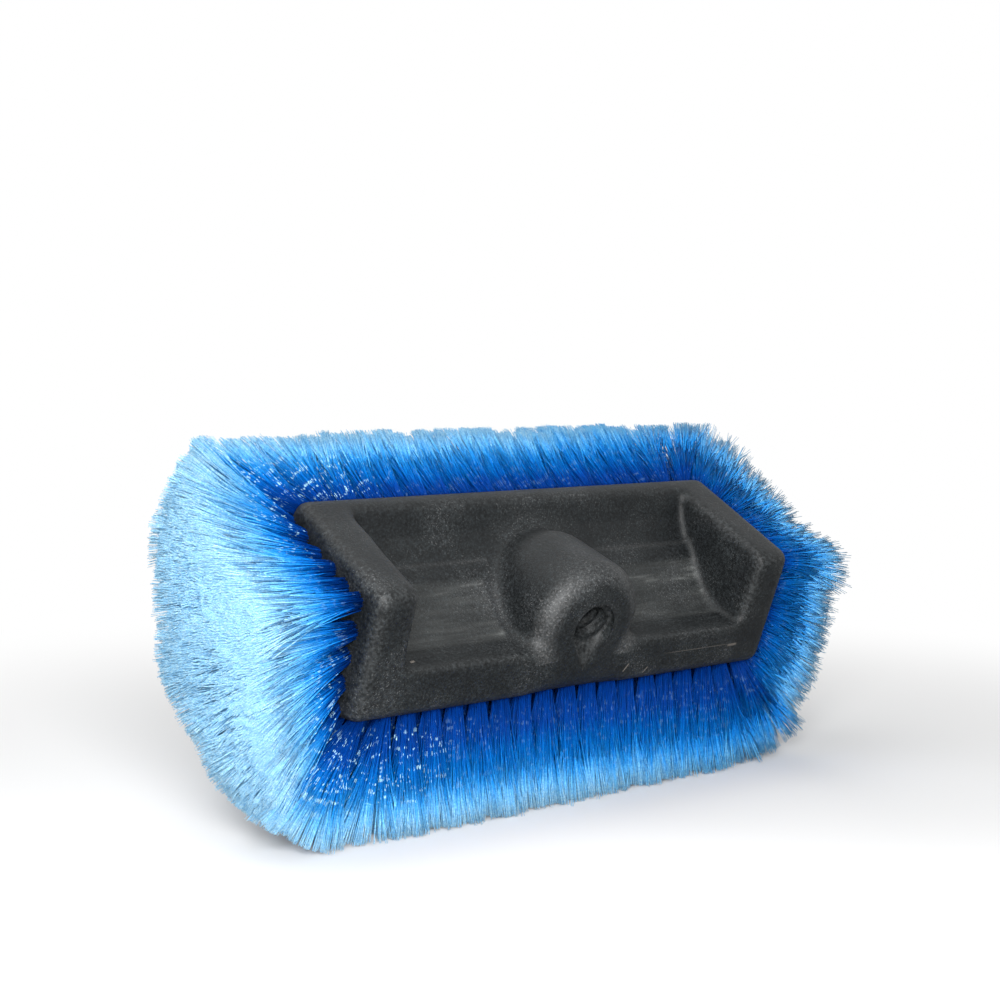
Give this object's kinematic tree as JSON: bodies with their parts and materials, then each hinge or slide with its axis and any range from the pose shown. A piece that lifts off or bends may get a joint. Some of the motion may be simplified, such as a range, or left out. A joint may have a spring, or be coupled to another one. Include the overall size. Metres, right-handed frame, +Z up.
{
  "type": "truck wash brush head",
  "caption": "Five-sided wash brush head: a black block with an open tray and a domed handle boss, and rows of soft blue bristles on all its other sides.",
  "frame": {"origin": "middle of the footprint, on the surface that the lower bristles stand on", "axes": "+X along the block, +Z up, +Y away from the user, towards the main bristle side"},
  "size_m": [0.366, 0.137, 0.1766],
  "materials": {
    "block_plastic": "moulded, satin, scuffed",
    "bristle": "fine flagged filaments, dark blue at the roots and pale at the tips"
  },
  "bodies": {
    "root": {"block": "block_plastic", "bristles_top_1": "bristle", "bristles_top_2": "bristle", "bristles_bottom_1": "bristle", "bristles_bottom_2": "bristle", "bristles_main_1": "bristle", "bristles_main_2": "bristle", "bristles_main_3": "bristle", "bristles_main_4": "bristle", "bristles_main_5": "bristle", "bristles_main_6": "bristle", "bristles_left_1": "bristle", "bristles_left_2": "bristle", "bristles_left_3": "bristle", "bristles_left_4": "bristle", "bristles_left_5": "bristle", "bristles_left_6": "bristle", "bristles_right_1": "bristle", "bristles_right_2": "bristle", "bristles_right_3": "bristle", "bristles_right_4": "bristle", "bristles_right_5": "bristle", "bristles_right_6": "bristle"}
  },
  "joints": []
}
